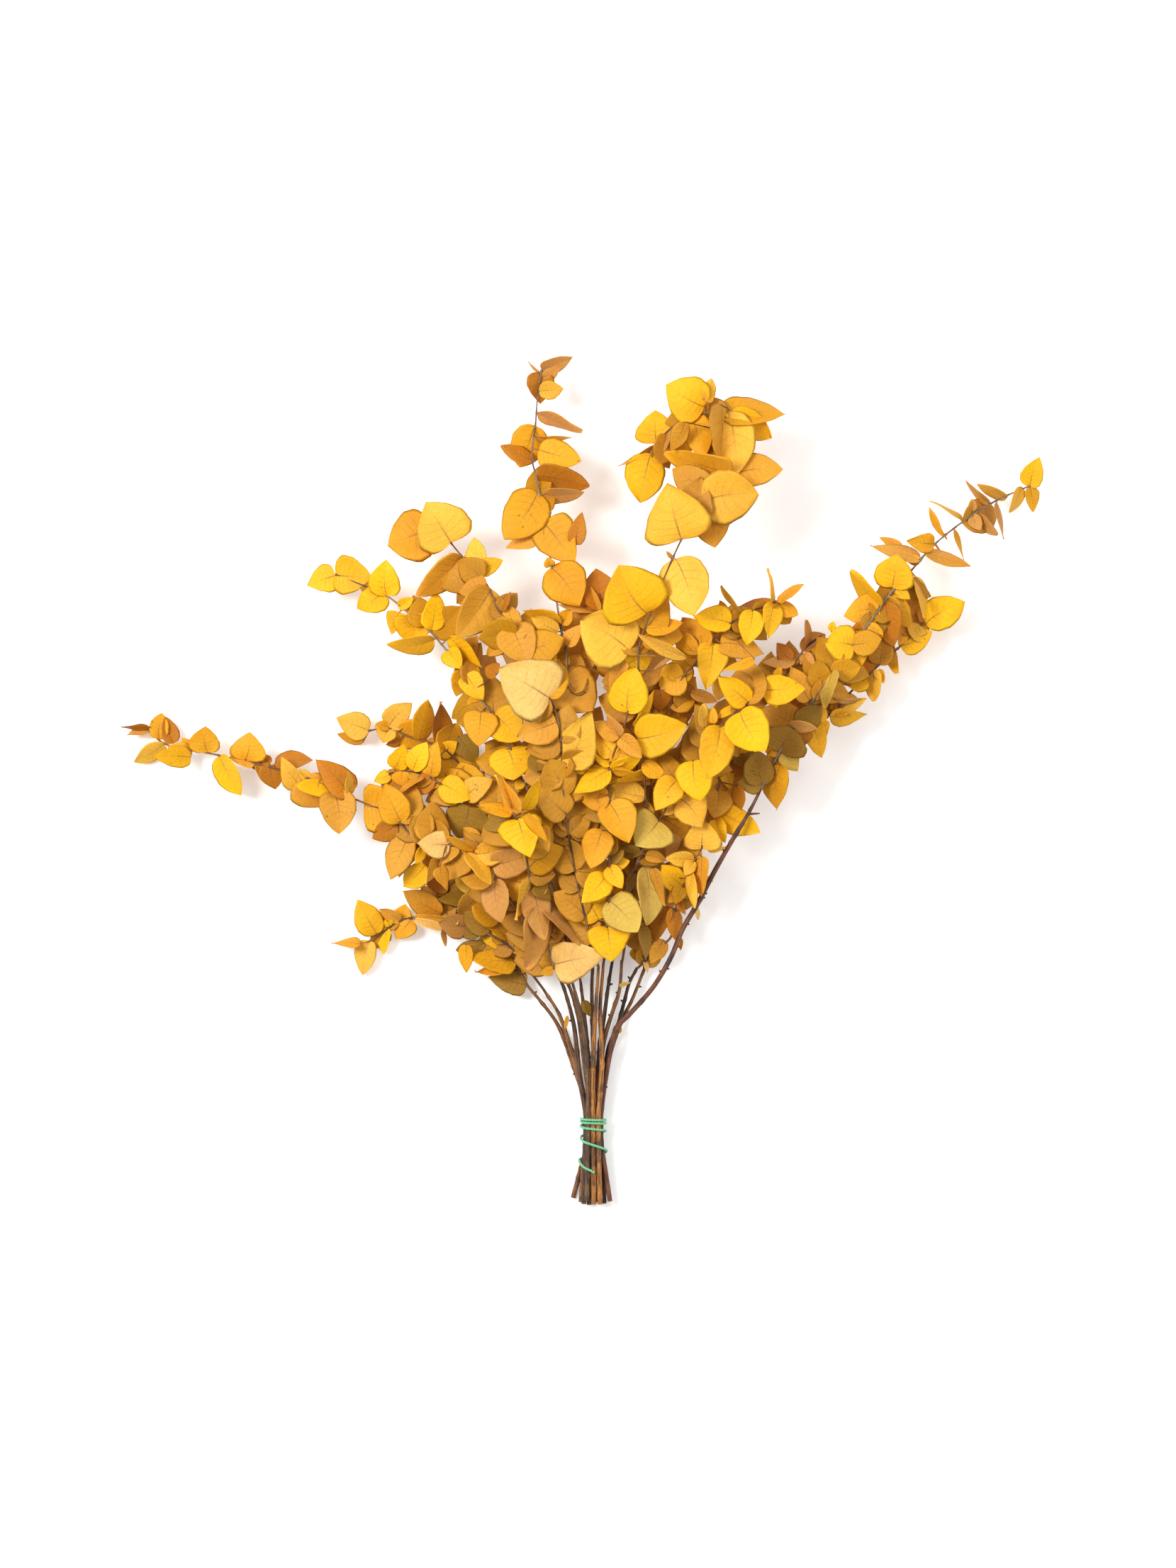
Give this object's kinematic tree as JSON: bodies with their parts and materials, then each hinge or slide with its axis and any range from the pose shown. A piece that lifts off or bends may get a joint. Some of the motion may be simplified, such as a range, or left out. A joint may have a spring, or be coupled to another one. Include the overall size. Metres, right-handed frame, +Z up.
{
  "type": "bunch of dried eucalyptus",
  "caption": "Bunch of dried yellow-dyed eucalyptus branches tied near their cut ends with green cord, lying flat",
  "frame": {"origin": "on the surface that the bunch lies on, under the middle of its bounding box", "axes": "+Z up out of the surface, +Y along the stems from the cut ends towards the leaf tips, +X across the bunch, to the right when it is seen from above with the tips away"},
  "size_m": [0.716, 0.6572, 0.1243],
  "materials": {
    "cord": "matte twisted cord",
    "bark": "dry bark",
    "leaf": "matte dyed leaf",
    "olive_leaf": "matte faded leaf"
  },
  "bodies": {
    "root": {"tie_cord": "cord", "stem_01": "bark", "stem_02": "bark", "stem_03": "bark", "stem_04": "bark", "stem_05": "bark", "stem_06": "bark", "stem_07": "bark", "stem_08": "bark", "stem_09": "bark", "stem_10": "bark", "stem_11": "bark", "stem_12": "bark", "stem_13": "bark", "stem_14": "bark", "shoot_heart": "leaf", "shoot_right_bright": "leaf", "shoot_north_east": "leaf", "shoot_north_east_side": "leaf", "shoot_upper_left_round": "leaf", "shoot_center": "leaf", "shoot_center_right": "leaf", "shoot_center_low": "leaf", "shoot_upper_right": "leaf", "shoot_north": "leaf", "shoot_north_back": "leaf", "shoot_pale": "leaf", "shoot_far_left": "leaf", "shoot_upper_left_yellow": "leaf", "shoot_right_top": "leaf", "shoot_right_low": "leaf", "shoot_right_mid": "leaf", "shoot_left_mid": "leaf", "shoot_left_upper": "leaf", "shoot_olive": "olive_leaf", "shoot_right_inner": "leaf", "shoot_right_amber": "leaf", "shoot_left_back": "olive_leaf", "shoot_lower_left": "leaf", "shoot_lower_olive": "olive_leaf"}
  },
  "joints": []
}
